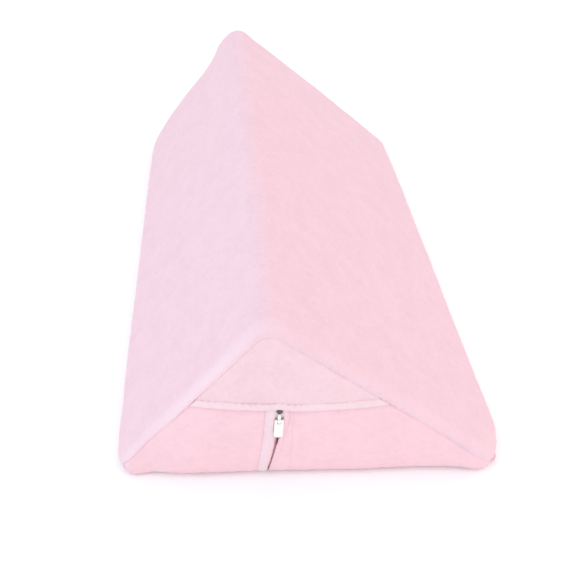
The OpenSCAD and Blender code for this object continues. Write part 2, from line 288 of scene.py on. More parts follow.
def base_end(x):
    """Y at which the base meets the rear gusset."""
    return FAR - turn_radius(x) - 0.7 * end_sink(x, 0.0, "far")


def curl(d):
    """How far the fabric has dipped in at distance d from a seam."""
    return CURL_DEEP * (1 - np.clip(d / CURL_R, 0, 1)) ** 2


def groove(d, deep, half):
    """Depth of a stitched groove at distance d from its middle."""
    return deep * (1 - np.clip(np.abs(d) / half, 0, 1)) ** 2


def turn_radius(x):
    """Radius with which the end faces turn under, smaller at the side seams."""
    d = np.minimum(x - SIDE_SEAM_L, SIDE_SEAM_R - x)
    return SIDE_TURN_R + (EDGE_R - SIDE_TURN_R) * smooth(d / (40 * MM))


# ---- Uneven pile ----

NOISE_CELLS = 48
NOISE_TABLE = np.random.default_rng(11).uniform(-1, 1, (NOISE_CELLS,) * 3)


def lumps(points, size, shift=0.0):
    """Smooth value noise from -1 to 1, with features of about the given size."""
    q = points / size + shift
    base = np.floor(q).astype(int)
    part = smooth(q - base)
    total = np.zeros(points.shape[:-1])
    for corner in np.ndindex(2, 2, 2):
        cell = (base + corner) % NOISE_CELLS
        weight = np.prod(np.where(corner, part, 1 - part), axis=-1)
        total += weight * NOISE_TABLE[cell[..., 0], cell[..., 1], cell[..., 2]]
    return total


def pile_height(points):
    """Uneven height of the pile: slow swells, hand-sized dents and small tufts."""
    layers = ((0.55, 38, 0.0), (0.30, 13, 7.3), (0.22, 5, 3.1), (0.10, 2.6, 5.7))
    rises = [rise * lumps(points, size * MM, shift) for rise, size, shift in layers]
    return (0.35 + sum(rises)) * MM


# ---- Meshes ----

def new_object(name, vertices, faces):
    """A smooth-shaded mesh object."""
    mesh = bpy.data.meshes.new(name)
    mesh.from_pydata([tuple(v) for v in vertices], [], faces)
    mesh.validate()
    mesh.shade_smooth()
    mesh.update()
    obj = bpy.data.objects.new(name, mesh)
    bpy.context.scene.collection.objects.link(obj)
    return obj


def raised(grid, outward, pile):
    """A sheet's outer points with its pile, pressed flat on the floor, and its outward normals."""
    normals = unit(np.cross(np.gradient(grid, axis=1), np.gradient(grid, axis=0)))
    if np.mean(np.sum(normals * outward, axis=-1)) < 0:
        normals = -normals
    outer = grid + normals * (pile * pile_height(grid))[..., None]
    outer[..., 2] = np.maximum(outer[..., 2], 0)
    return outer, normals


def add_fold(grid, outer, normals, side, depth):
    """Adds a column that is turned in, under the neighbouring panel: before the first one if
    side is 0, after the last one if it is -1."""
    way = unit(grid[:, side] - grid[:, 1 if side == 0 else -2])
    move = 0.6 * depth * way - depth * normals[:, side]
    at = 0 if side == 0 else grid.shape[1]
    grid, outer = (np.insert(part, at, part[:, side] + move, axis=1) for part in (grid, outer))
    return grid, outer, np.insert(normals, at, normals[:, side], axis=1)


def quads(start, rows, columns):
    """Faces of a grid of points."""
    return [(a, a + 1, a + columns + 1, a + columns) for i in range(rows - 1)
            for a in range(start + i * columns, start + (i + 1) * columns - 1)]


def shell(name, grid, outward, thick=CLOTH, coarse=4, pile=1.0, rows_kept=None, folded=()):
    """A closed sheet from a grid of points on its outer side. Its inner side has one face for
    each block of coarse x coarse. Rows_kept picks the rows to use once the pile is raised.
    Folded says how deep the first and the last column turn in."""
    outer, normals = raised(grid, outward, pile)
    if rows_kept is not None:
        grid, outer, normals = grid[rows_kept], outer[rows_kept], normals[rows_kept]
    for side, depth in zip((0, -1), folded):
        if depth:
            grid, outer, normals = add_fold(grid, outer, normals, side, depth)
    rows, columns = grid.shape[:2]
    row_picks = list(range(0, rows - 1, coarse)) + [rows - 1]
    column_picks = list(range(0, columns - 1, coarse)) + [columns - 1]
    picks = np.ix_(row_picks, column_picks)
    inner = grid[picks] - thick * normals[picks]
    start, width = rows * columns, len(column_picks)
    last = len(row_picks) - 1
    faces = quads(0, rows, columns) + [f[::-1] for f in quads(start, last + 1, width)]
    for j in range(width - 1):
        fine = list(range(column_picks[j], column_picks[j + 1] + 1))
        bottom = [(rows - 1) * columns + k for k in fine]
        end = start + last * width + j
        faces.append((start + j, start + j + 1, *fine[::-1]))
        faces.append((end + 1, end, *bottom))
    for i in range(last):
        fine = list(range(row_picks[i], row_picks[i + 1] + 1))
        a, b = start + i * width, start + (i + 1) * width
        faces.append((b, a, *[k * columns for k in fine]))
        faces.append((a + width - 1, b + width - 1, *[(k + 1) * columns - 1 for k in fine[::-1]]))
    i, j = rows // 2, columns // 2
    facing = np.cross(grid[i, j + 1] - grid[i, j], grid[i + 1, j] - grid[i, j])
    if facing @ normals[i, j] < 0:
        faces = [face[::-1] for face in faces]
    vertices = np.concatenate([outer.reshape(-1, 3), inner.reshape(-1, 3)])
    piece = new_object(name, vertices, faces)
    piece.data.set_sharp_from_angle(angle=math.radians(65))
    return piece


def ring_faces(start, rings, width):
    """Faces round a stack of rings of width points each, and its two ends."""
    faces = []
    for a in range(start, start + (rings - 1) * width, width):
        b = a + width
        faces += [(a + i, a + (i + 1) % width, b + (i + 1) % width, b + i) for i in range(width)]
    faces.append(tuple(range(start, start + width))[::-1])
    faces.append(tuple(range(b, b + width)))
    return faces


def tube(name, paths, radius, sides=6):
    """Round tubes along paths of points, as one mesh."""
    turn = 2 * math.pi * np.arange(sides)[:, None] / sides
    vertices, faces = [], []
    for path in paths:
        tangent = unit(np.gradient(path, axis=0))
        side = np.cross(tangent[0], np.eye(3)[int(np.argmin(np.abs(tangent[0])))])
        sides_along = []
        for way in tangent:
            side = unit(side - (side @ way) * way)
            sides_along.append(side)
        side = np.array(sides_along)[:, None]
        up = np.cross(tangent[:, None], side)
        ring = path[:, None] + radius * (np.cos(turn) * side + np.sin(turn) * up)
        faces += ring_faces(len(vertices), len(path), sides)
        vertices.extend(ring.reshape(-1, 3))
    return new_object(name, vertices, faces)


def spaced(start, end, step):
    """Evenly spaced values from start to end, about step apart."""
    return np.linspace(start, end, max(2, int(round(abs(end - start) / step)) + 1))


def edged(count, fine=0.25):
    """Values from 0 to 1, closer together near both ends."""
    t = np.linspace(0, 1, count)
    return (1 - fine) * (0.5 - 0.5 * np.cos(math.pi * t)) + fine * t


# ---- The cover's panels ----

STEP = 1.9 * MM
OUT_OF_NEAR_END = np.array([0, -1.0, 0])
HEM_SAG_X = -22 * MM        # where the hem hangs lowest
BEHIND_HEM = HEM_TALL - 1.5 * MM    # how far the lower panels reach up behind the hem
BASE_TAIL = 2.4 * MM        # how far the base's far edge turns in
PLACKET_TUCK = 1.2 * MM     # how far a lower panel's edge turns in at the placket


def roll_profile():
    """Rows of the slope panel's rolled end, from the seam's inside outward: the share of the way
    from the outline to the seam, and the distance behind the foremost plane."""
    shoulder, crown = 0.80, 0.6
    rows = [(1.0, FLANGE), (1.0, 2.4 * MM), (1.0, CURL_DEEP)]
    rows += [(1 - (1 - shoulder) * t, CURL_DEEP * (1 - t) ** 2) for t in np.linspace(0, 1, 6)[1:]]
    rows += [(share, -0.4 * MM * math.sin(math.pi * (shoulder - share) / 0.5))
             for share in (0.76, 0.71, 0.66)]
    start = rows[-1][1]
    for a in np.linspace(0, math.pi / 2, 12)[1:]:
        rows.append((crown * (1 - math.sin(a)), start + (ROLL_R - start) * (1 - math.cos(a))))
    return rows


def ridge_swell(s, along):
    """How far the slopes stand out towards the far end, where along is 1: most of all below the
    ridge on the steep side, and a little on the shallow one."""
    below = TOE_L_END + (RIDGE_START - TOE_L_END) * 0.93
    steep = 7.6 * MM * smooth(1.6 * along - 0.6) * np.exp(-((s - below) / (24 * MM)) ** 2)
    beyond = (s - RIDGE_END) / MM
    shallow = np.interp(beyond, (-20, 0, 60, 150, 215), (0, 1.0, 1.2, 2.4, 0)) * MM
    return steep + shallow * smooth(4 * along - 3)


def build_top_panel():
    """One panel over both slopes and the ridge, rolled over both ends."""
    first = np.array([0, 0.5, 1.1, 1.8]) * MM
    middle = spaced(3 * MM, SEC_LENGTH - 3 * MM, STEP)
    s = np.concatenate([first, middle, SEC_LENGTH - first[::-1]])
    points, normals = section(s)
    seams = between(s, SEAM_S, SEAM_P)
    profile = roll_profile()
    length = FAR - NEAR
    middle = [(0.0, y) for y in spaced(ROLL_R, length - ROLL_R, STEP)[1:-1]]
    rows = profile + middle + [(share, length - y) for share, y in profile[::-1]]
    grid = np.zeros((len(rows), len(s), 3))
    for k, (share, y) in enumerate(rows):
        at = points + share * (seams - points)
        nearness = min(y, length - y)
        end = "near" if y < length / 2 else "far"
        fade = (1 - np.clip(nearness / FADE, 0, 1)) ** 2
        sink = (EDGE_SINK + foot_sink(at[:, 1]) + corner_sink(at[:, 0], end)) * fade
        pull = 1.4 * MM * math.exp(-max(nearness, 0) / (28 * MM)) * (1 - share)
        at = at + (ridge_swell(s, y / length) * (1 - share) - pull)[:, None] * normals
        at[:, 0] = pinched(at[:, 0], y)
        grid[k, :, 0] = at[:, 0]
        grid[k, :, 1] = NEAR + y + (sink if y < length / 2 else -sink)
        grid[k, :, 2] = np.maximum(at[:, 1], 0)
    on_outline = 1 - np.array([share for share, _ in rows])
    for column, rise in enumerate([2.6 * MM, *curl(first[1:])]):
        grid[:, column, 2] += rise * on_outline
        grid[:, -1 - column, 2] += rise * on_outline
    outward = np.stack([normals[:, 0], np.zeros(len(s)), normals[:, 1]], -1)
    return shell("cover_slope_panel", grid, outward)


def turn_in_sides(grid, inward):
    """Fills the first and last columns of a grid with its edges, turned in."""
    inward = np.broadcast_to(inward, grid.shape)
    for side, beside in ((0, 1), (-1, -2)):
        grid[:, side] = grid[:, beside] + (FLANGE - CURL_DEEP) * inward[:, side]


def build_front_gusset():
    """The triangle above the hem."""
    across = edged(70, 0.3)
    rows = 1 - np.linspace(0, 1, 46)[::-1] ** 1.6
    grid = np.zeros((len(rows) + 1, len(across) + 2, 3))
    bottom, top = hem_seam_z(ZIP_X), ARCH_TOP - 0.1 * MM
    for k, t in enumerate(rows):
        z_row = bottom + (top - bottom) * t
        x = over_arch(z_row, across)
        z = z_row + (hem_seam_z(x) - bottom) * (1 - t) ** 2
        x = over_arch(z, across)
        stitched = groove(z - hem_seam_z(x), 0.5 * MM, 3 * MM)
        y = NEAR + end_sink(x, z) + curl(seam_distance(x, z)) + stitched
        grid[k + 1, 1:-1] = np.stack([x, y, z], -1)
    turn_in_sides(grid, -OUT_OF_NEAR_END)
    grid[0] = grid[1] + np.array([0, 1.3 * MM, -1.2 * MM])
    return shell("cover_front_gusset", grid, OUT_OF_NEAR_END)


def hem_low_z(x):
    """Height of the hem's lower edge: it sags towards the zip, with a small notch over it."""
    left = np.clip((HEM_SAG_X - x) / (78 * MM), 0, 2) ** 1.5
    right = np.clip((x - HEM_SAG_X) / (66 * MM), 0, 2) ** 1.5
    notch = 1.6 * MM * np.exp(-((x - ZIP_X) / (5 * MM)) ** 2)
    return HEM_Z - 0.3 * MM + 5.7 * MM * left + 3.3 * MM * right + notch


def hem_seam_z(x):
    """Height of the hem's stitch line."""
    return hem_low_z(x) + HEM_TALL


def build_hem_band():
    """The gusset's folded lower edge, rolled under below. The profile gives how far it stands
    out and its height over the lower edge, from the stitches down."""
    profile = np.array([
        (-1.4, HEM_TALL / MM), (-0.35, HEM_TALL / MM), (-0.2, 6.1), (0.05, 5.6), (0.4, 5.0),
        (0.9, 4.2), (1.2, 3.4), (1.35, 2.6), (1.35, 1.8), (1.2, 1.1), (0.9, 0.5), (0.45, 0.12),
        (0.0, 0.0), (-0.4, 0.2), (-0.6, 0.7), (-0.7, 1.6), (-0.75, 2.8),
    ]) * MM
    across = edged(110, 0.5)
    grid = np.zeros((len(profile), len(across) + 2, 3))
    mid = HEM_Z + HEM_TALL / 2
    for k, (out, up) in enumerate(profile):
        z = hem_low_z(over_arch(mid, across)) + up
        low, high = arch_left(z[0]), arch_right(z[-1])
        x = low + (high - low) * across
        z = hem_low_z(x) + up
        ripple = 0.25 * MM * np.sin(x / (5.5 * MM)) * (1 if up > HEM_TALL / 3 else 0.4)
        y = NEAR + end_sink(x, z) + curl(seam_distance(x, z)) - out + ripple
        grid[k, 1:-1] = np.stack([x, y, z], -1)
    turn_in_sides(grid, -OUT_OF_NEAR_END)
    return shell("cover_hem", grid, OUT_OF_NEAR_END, thick=1.0 * MM, coarse=2, pile=0.6)


def word_for(side):
    """The name of a side: -1 is the steep slope's side."""
    return "left" if side < 0 else "right"


def lean(z, y):
    """Share of the zip's lean to the left: none at the slider, full at the foot, and none
    far back along the base."""
    down = np.clip((52 * MM - z) / (42 * MM), 0, 1) ** 1.2
    return down * (1 - smooth((y - NEAR - EDGE_R) / (60 * MM)))


def line_x(side, z, y):
    """X of the stitch line on one side of the zip."""
    return ZIP_X + side * PLACKET - (side < 0) * LINE_LEAN * lean(z, y)


def wrap_rows(x_base, z_top, y_end):
    """Rows of a panel that runs down the near end, round its foot and along the base: for each
    place across it, the share of X that is the base's, Y, Z and the inward direction (Y, Z)."""
    r = turn_radius(x_base)
    one, none = np.ones(len(x_base)), np.zeros(len(x_base))
    rows = []
    for t in np.linspace(0, 1, int((np.max(z_top) - EDGE_R) / STEP) + 1):
        rows.append((none, NEAR * one, z_top + (r - z_top) * t, (one, none)))
    for t in np.linspace(0, 1, 10)[1:]:
        c, s = math.cos(t * math.pi / 2), math.sin(t * math.pi / 2)
        rows.append((smooth(t) * one, NEAR + r * (1 - c), r * (1 - s), (c * one, s * one)))
    for t in np.linspace(0, 1, int((FAR - NEAR - 2 * EDGE_R) / (1.6 * STEP)))[1:]:
        rows.append((one, NEAR + r + (y_end - NEAR - r) * t, none, (none, one)))
    return rows


def lay_row(grid, inward_of, k, x, y, z, inward, push):
    """Lays row k of a panel that wraps round the near end's foot, pushed in by push."""
    y = y + near_sink(x, y, z) + push * inward[0]
    grid[k] = np.stack([x, y, z + push * inward[1]], -1)
    inward_of[k, :, 1], inward_of[k, :, 2] = inward


def placket_groove(side, x, y, z):
    """Groove that the placket's stitches pull along one side of the zip."""
    fade = 1 - smooth((y - ZIP_END) / (12 * MM))
    deep = 0.5 * MM if side < 0 else 0.25 * MM
    return groove(x - line_x(side, z, y), deep, 2.2 * MM) * fade


def under_hem(x, z):
    """How far the lower panels are pressed in at the hem."""
    return 1.5 * MM * smooth(1 - (hem_low_z(x) - z) / (6 * MM))


def add_tail(grid, inward):
    """Fills the last row of a grid with the base's far edge, turned in."""
    grid[-1] = grid[-2] + np.array([0, 0, BASE_TAIL])
    inward[-1] = inward[-2]


def build_lower_panel(side):
    """The base panel on one side of the zip, which turns up over the near end."""
    inner = ZIP_X + side * PLACKET
    outer, arch = (SIDE_SEAM_L, arch_left) if side < 0 else (SIDE_SEAM_R, arch_right)
    share = edged(int(abs(outer - inner) / STEP), 0.6)
    x_base = outer + (inner - outer) * share

    def face_x(z):
        edge = arch(np.maximum(z, SIDE_TURN_R))
        return edge + (line_x(side, z, NEAR) - edge) * share

    top = hem_low_z(face_x(np.full(len(share), HEM_Z))) + BEHIND_HEM
    rows = wrap_rows(x_base, top, base_end(x_base))
    grid = np.zeros((len(rows) + 1, len(share), 3))
    inward_of = np.zeros_like(grid)
    for k, (blend, y, z, inward) in enumerate(rows):
        x = face_x(np.maximum(z, 0)) * (1 - blend) + x_base * blend
        arched = seam_distance(x, np.maximum(z, SIDE_TURN_R))
        from_seam = arched * (1 - blend) + np.abs(x - outer) * blend
        push = curl(from_seam) + placket_groove(side, x, y, z) + under_hem(x, z)
        lay_row(grid, inward_of, k, x, y, z, inward, push)
        grid[k, :, 0] = pinched(x, y - NEAR)
    add_tail(grid, inward_of)
    folded = (FLANGE - CURL_DEEP, PLACKET_TUCK)
    return shell(f"cover_base_{word_for(side)}", grid, -inward_of, folded=folded)


def lip_gap(z):
    """Half the gap between the zip's lips: widest at the slider, and closing towards the foot."""
    heights = (0, 10, 24, 38, 46, 54, 60, 68.5, 71, 74, 77)
    halves = (0.5, 0.7, 0.9, 1.2, 1.8, 2.7, 3.8, 3.9, 3.5, 2.7, 2.0)
    return np.interp(z / MM, heights, halves) * MM


def build_lip(side, upper):
    """The strip of fabric between the placket's stitches and the slit on one side of the zip:
    crowned, creased beside the pull on the right, and snug round the slider."""
    share = np.concatenate([[-0.12], edged(16, 0.5)])
    across = np.clip(share, 0, 1)
    x_base = ZIP_X + side * (PLACKET + (0.5 * MM - PLACKET) * share)
    rows = wrap_rows(x_base, np.full(len(share), HEM_Z + BEHIND_HEM), base_end(x_base))
    grid = np.zeros((len(rows), len(share), 3))
    inward_of = np.zeros_like(grid)
    for k, (_, y, z, inward) in enumerate(rows):
        outer = line_x(side, z, y)
        edge = ZIP_X - SLIT_LEAN * lean(z, y) + side * lip_gap(z)
        x = outer + (edge - outer) * share
        push = curl(np.abs(x - edge)) * 0.7 + placket_groove(side, x, y, z) + under_hem(x, z)
        push = push + LIP_TUCK * (share < 0)
        tall = 1.3 if side < 0 else 0.2 + 0.7 * smooth((z - 21 * MM) / (10 * MM))
        push = push - tall * MM * np.sin(math.pi * across) * smooth(z / (14 * MM))
        if side > 0:
            crease = ZIP_X + 3.4 * MM + 4.8 * MM * np.clip((z - 37 * MM) / (33 * MM), 0, 1.2)
            deep = 1.1 * MM * smooth((z - 22 * MM) / (12 * MM))
            push = push + groove(x - crease, deep, 2.2 * MM)
        hug = smooth((z - SLIDER_LOW.z + 7 * MM) / (8 * MM))
        push = push - 1.5 * MM * across ** 2 * hug
        lay_row(grid, inward_of, k, x, y, z, inward, push)
    split = int(np.argmin(np.abs(grid[:, 0, 2] - LIP_SPLIT_Z)))
    keep, part = (slice(0, split + 1), "upper") if upper else (slice(split, None), "lower")
    return shell(f"zip_lip_{word_for(side)}_{part}", grid, -inward_of, thick=LIP_THICK, coarse=2,
                 rows_kept=keep, folded=(0.0, 0.7 * MM))


def build_rear_gusset():
    """The triangle that closes the far end and turns under onto the base."""
    across = edged(120, 0.4)
    x_base = SIDE_SEAM_L + (SIDE_SEAM_R - SIDE_SEAM_L) * across
    r, top = turn_radius(x_base), ARCH_TOP - 0.1 * MM
    rows = []
    for t in np.linspace(0, 1, 64) ** 1.4:
        z = top + (r - top) * t
        x = over_arch(z, across)
        y = FAR - end_sink(x, z, "far") - curl(seam_distance(x, z))
        rows.append((x, y, z, (0.0, -1.0, 0.0)))
    for t in np.linspace(0, 1, 9)[1:]:
        c, s = math.cos(t * math.pi / 2), math.sin(t * math.pi / 2)
        z = r * (1 - s)
        x = over_arch(r, across) * (1 - smooth(t)) + x_base * smooth(t)
        y = FAR - r * (1 - c) - end_sink(x, z, "far") * (1 - 0.3 * t)
        rows.append((x, y, z, (0.0, -c, s)))
    grid = np.zeros((len(rows) + 1, len(across) + 2, 3))
    inward = np.zeros_like(grid)
    for k, (*point, way) in enumerate(rows):
        grid[k, 1:-1] = np.transpose(point)
        inward[k] = way
    turn_in_sides(grid, inward)
    add_tail(grid, inward)
    return shell("cover_rear_gusset", grid, -inward)


# ---- Foam ----

FOAM_IN = 3.0 * MM          # the foam lies this far inside the cover's slopes
FOAM_BASE = 4.0 * MM
FOAM_END = 6.0 * MM
FOAM_EDGE_R = 10 * MM
FOAM_MIDDLE_Z = 66 * MM     # height of the point that its ends shrink towards
ZIP_FURROW = 2.5 * MM


def build_foam():
    """The block that fills the cover: rounded along its ends, with a furrow along the zip."""
    points, normals = section(spaced(0, SEC_LENGTH, 3.2 * MM))
    points = points - FOAM_IN * normals
    points[:, 1] = np.maximum(points[:, 1], FOAM_BASE)
    x = spaced(points[-1, 0], points[0, 0], 5 * MM)[1:-1]
    loop = np.concatenate([points, np.stack([x, np.full(len(x), FOAM_BASE)], -1)])
    middle = RIDGE_AT * 0.3 + TOE_L_AT * 0.3 + TOE_R_AT * 0.4
    middle[1] = FOAM_MIDDLE_Z
    inradius = FOAM_MIDDLE_Z - FOAM_BASE
    insets = np.concatenate([[inradius * 0.97], spaced(inradius * 0.9, FOAM_EDGE_R, 5 * MM),
                             FOAM_EDGE_R * (1 - np.sin(np.linspace(0.1, math.pi / 2, 8)))])
    rings = [(inset, 0.0, "near") for inset in insets]
    rings += [(0.0, y, "near") for y in spaced(4 * MM, (FAR - NEAR) / 2, 6 * MM)]
    rings += [(inset, back, "far") for inset, back, _ in rings[::-1]]
    vertices = []
    for inset, back, end in rings:
        x, z = (middle + (1 - inset / inradius) * (loop - middle)).T
        fade = max(0.0, 1 - back / FADE) ** 2
        foot = round_over(z - FOAM_BASE, EDGE_R)
        sink = round_over(inset, FOAM_EDGE_R) + EDGE_SINK + corner_sink(x, end) + foot
        near_zip = 1 - smooth((np.abs(x - ZIP_X) - 7 * MM) / (7 * MM))
        depth = FOAM_END + back + sink * fade
        if end == "near":
            depth = depth + ZIP_FURROW * near_zip * smooth((HEM_Z - z) / (8 * MM)) * fade
        y = NEAR + depth if end == "near" else FAR - depth
        under = (z < FOAM_BASE + 1e-6) & (y < ZIP_END) & (inset == 0)
        vertices.extend(np.stack([x, y, z + ZIP_FURROW * near_zip * under], -1))
    return new_object("foam_block", vertices, ring_faces(0, len(rings), len(loop)))


# ---- Zip and stitching ----

THREAD_R = 0.25 * MM
STITCH_PITCH = 5.0 * MM
STITCH_LONG = 3.2 * MM
TAPE_REACH = 0.13 * MM      # how far the tapes come in over the slot, past their CAD shapes
COIL_REACH = 0.06 * MM      # and the teeth


def zip_route(depth, top, y_end, step):
    """Distances, points (Y, Z) and inward directions along the zip, at a depth behind the
    cover's surface: from the height top down round the foot and along the base to y_end."""
    at = np.array([ZIP_X])
    points, inward_of = [], []
    for _, y, z, inward in wrap_rows(at, np.array([top]), y_end):
        way = np.concatenate(inward)
        points.append(np.concatenate([y + near_sink(at, y, z), z]) + depth * way)
        inward_of.append(way)
    along = lengths(points)
    places = spaced(0, along[-1], step)
    return places, between(places, along, points), unit(between(places, along, inward_of))


def build_tape(word):
    """One woven tape of the zip, up to the slot that the slider's neck runs in."""
    low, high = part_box(f"zip_tape_{word}")
    _, points, inward = zip_route(low.z, high.z, high.y, 2.2 * MM)
    x = np.linspace(low.x, high.x, 9)
    x[-1 if word == "left" else 0] += TAPE_REACH if word == "left" else -TAPE_REACH
    grid = np.zeros((len(points), len(x), 3))
    grid[..., 0] = x
    grid[..., 1:] = points[:, None]
    outward = np.zeros_like(grid)
    outward[..., 1:] = -inward[:, None]
    return shell(f"zip_tape_woven_{word}", grid, outward, thick=0.55 * MM, coarse=1, pile=0.0)


def build_coil(word):
    """One row of the zip's teeth: a flattened coil of monofilament."""
    low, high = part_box(f"zip_coil_{word}")
    sign = 1 if word == "left" else -1
    middle = (low.x + high.x) / 2 + sign * COIL_REACH
    wire, turn = 0.33 * MM, 1.35 * MM
    half_wide, half_deep = (high.x - low.x) / 2 - wire, 0.65 * MM
    places, points, inward = zip_route(low.z + 1.0 * MM, high.z, high.y, turn / 10)
    angle = 2 * math.pi * places / turn
    across = middle + sign * half_wide * np.cos(angle)
    path = np.column_stack([across, points + inward * (half_deep * np.sin(angle))[:, None]])
    return tube(f"zip_teeth_{word}", [path], wire, sides=5)


def build_top_stop():
    """The dark staple at the top of the zip, folded over both tapes."""
    half_wide, corner_r = 1.9 * MM, 0.7 * MM
    foot, top = STOP_LOW.z + 0.8 * MM, STOP_HIGH.z + 1.9 * MM
    loop = []
    for k, (sx, sz) in enumerate(((1, 1), (-1, 1), (-1, -1), (1, -1))):
        for a in np.linspace(0, math.pi / 2, 5) + k * math.pi / 2:
            x = sx * (half_wide - corner_r) + corner_r * math.cos(a)
            loop.append((x, sz * ((top - foot) / 2 - corner_r) + corner_r * math.sin(a)))
    profile = ((0.3, -1.8), (0.72, -1.65), (0.93, -1.3), (1.0, -0.7), (1.0, 1.4), (0.8, 1.6),
               (0.8, 4.6))
    vertices = [(ZIP_X + share * x, NEAR + back * MM, (foot + top) / 2 + share * z)
                for share, back in profile for x, z in loop]
    return new_object("zip_stop_staple", vertices, ring_faces(0, len(profile), len(loop)))


def stitch_row(points, outward):
    """Single stitches along a line, each out of the fabric and back into it."""
    along = lengths(points)
    share = np.linspace(0, 1, 7)
    rise = 0.75 * MM * np.sin(math.pi * share) ** 0.6 - 0.45 * MM
    stitches = []
    for start in np.arange(STITCH_PITCH / 2, along[-1] - STITCH_LONG, STITCH_PITCH):
        places = start + STITCH_LONG * share
        way = between(places, along, np.broadcast_to(outward, points.shape))
        stitches.append(between(places, along, points) + way * rise[:, None])
    return stitches


def build_hem_stitches():
    """The row of stitches that holds the hem."""
    top = HEM_Z + HEM_TALL
    x = spaced(arch_left(top) + 5 * MM, arch_right(top) - 5 * MM, 2 * MM)
    z = hem_seam_z(x) - 0.4 * MM
    y = NEAR + end_sink(x, z) + curl(seam_distance(x, z)) + 0.1 * MM
    stitches = stitch_row(np.stack([x, y, z], -1), OUT_OF_NEAR_END)
    return tube("hem_stitches", stitches, THREAD_R)


def build_placket_stitches():
    """Rows of stitches on both sides of the zip, from below the hem to the zip's end."""
    _, points, inward = zip_route(0.55 * MM, HEM_Z - 2 * MM, ZIP_END, 2 * MM)
    stitches = []
    outward = np.column_stack([np.zeros(len(points)), -inward])
    for side in (-1, 1):
        line = np.column_stack([line_x(side, points[:, 1], points[:, 0]), points])
        stitches += stitch_row(line, outward)
    return tube("placket_stitches", stitches, THREAD_R)


def overlock(name, lines):
    """Thread wound over raw edges. Each line is its points, the way across the edge and the way
    into the cover."""
    half, deep, pitch = 1.2 * MM, 2.2 * MM, 2.6 * MM
    paths = []
    for points, across, inward in lines:
        along = lengths(points)
        places = spaced(0, along[-1], pitch / 4)
        at, side, way = (between(places, along, np.broadcast_to(part, points.shape))
                         for part in (points, across, inward))
        beat = np.arange(len(places)) * math.pi / 2
        paths.append(at + half * np.cos(beat)[:, None] * side
                     + deep * (0.5 + 0.5 * np.sin(beat))[:, None] * way)
    return tube(name, paths, 0.2 * MM, sides=5)


def arch_line(end):
    """Line of an arched seam's allowance, behind the panels' turned-in edges."""
    pick = SEAM_P[:, 1] > EDGE_R + 2 * MM
    x, z = SEAM_P[pick, 0], SEAM_P[pick, 1]
    start, sign = (NEAR, 1.0) if end == "near" else (FAR, -1.0)
    points = np.stack([x, start + sign * (end_sink(x, z, end) + 2.4 * MM), z], -1)
    inward = (0.0, sign, 0.0)
    return points, np.cross(unit(np.gradient(points, axis=0)), inward), inward


def base_line(x, y_start, y_end):
    """Line of a seam's allowance along the base."""
    y = spaced(y_start, y_end, 5 * MM)
    points = np.stack([np.full(len(y), x), y, np.full(len(y), 1.5 * MM)], -1)
    return points, (1.0, 0.0, 0.0), (0.0, 0.0, 1.0)


# ---- Camera, lights and floor ----

def build_camera():
    """Looks down on the near end from in front of it, a little to its left."""
    data = bpy.data.cameras.new("camera")
    data.sensor_width = 36.0
    data.lens = 48.575
    data.clip_start, data.clip_end = 0.02, 50
    camera = bpy.data.objects.new("camera", data)
    heading, tilt, roll = (
        Matrix.Rotation(math.radians(angle), 4, axis)
        for angle, axis in ((-7.319, "Z"), (90 - 36.847, "X"), (4.264, "Z"))
    )
    place = Matrix.Translation((-0.0888, NEAR - 0.4130, 0.5063))
    camera.matrix_world = place @ heading @ tilt @ roll
    bpy.context.scene.collection.objects.link(camera)
    bpy.context.scene.camera = camera


def area_light(name, place, size, watts, colour):
    """A soft round lamp aimed at the wedge."""
    data = bpy.data.lights.new(name, "AREA")
    data.shape, data.size, data.energy, data.color = "DISK", size, watts, colour
    light = bpy.data.objects.new(name, data)
    light.location = place
    light.rotation_mode = "QUATERNION"
    light.rotation_quaternion = (Vector((0, 0, 0.08)) - light.location).to_track_quat("-Z", "Y")
    bpy.context.scene.collection.objects.link(light)


def build_studio():
    """White floor and surroundings, and large soft lights."""
    world = bpy.data.worlds.new("studio")
    bpy.context.scene.world = world
    world.use_nodes = True
    background = world.node_tree.nodes["Background"]
    tune(world.node_tree, background, Color=(1, 1, 1, 1), Strength=1.05)
    bpy.context.scene.view_settings.view_transform = "Standard"
    area_light("key", (-1.5, -0.9, 1.35), 1.3, 8, (0.45, 0.78, 1.0))
    area_light("fill", (1.4, -0.7, 0.9), 1.2, 4, (1.0, 0.55, 0.45))
    bpy.ops.mesh.primitive_plane_add(size=8, location=(0, 0, -0.4 * MM))
    floor = bpy.context.object
    floor.name = "floor"
    floor.data.materials.append(floor_material())


# ---- Materials ----

def node_material(name):
    """A new node material, its tree, its main shader and the object's coordinates."""
    material = bpy.data.materials.new(name)
    material.use_nodes = True
    tree = material.node_tree
    place = tree.nodes.new("ShaderNodeTexCoord").outputs["Object"]
    return material, tree, tree.nodes["Principled BSDF"], place


def plug(tree, socket, value):
    """Links a socket to another one, or sets its value."""
    if isinstance(value, bpy.types.NodeSocket):
        tree.links.new(value, socket)
    else:
        socket.default_value = value


def tune(tree, node, **values):
    """Gives a node its settings, and its inputs by name with _ for a space."""
    for key, value in values.items():
        label = key.replace("_", " ")
        if label in node.inputs:
            plug(tree, node.inputs[label], value)
        else:
            setattr(node, key, value)
    return node


def add(tree, kind, **values):
    """A new shader node with such values."""
    return tune(tree, tree.nodes.new(kind), **values)


def noise(tree, place, scale, detail=3.0, rough=0.6):
    """Noise from 0 to 1."""
    node = add(tree, "ShaderNodeTexNoise", Vector=place, Scale=scale, Detail=detail, Roughness=rough)
    return node.outputs["Fac"]


def ribs(tree, place, scale, distortion, way):
    """Waves from 0 to 1."""
    node = add(tree, "ShaderNodeTexWave", Vector=place, Scale=scale, Distortion=distortion,
               bands_direction=way)
    return node.outputs["Fac"]


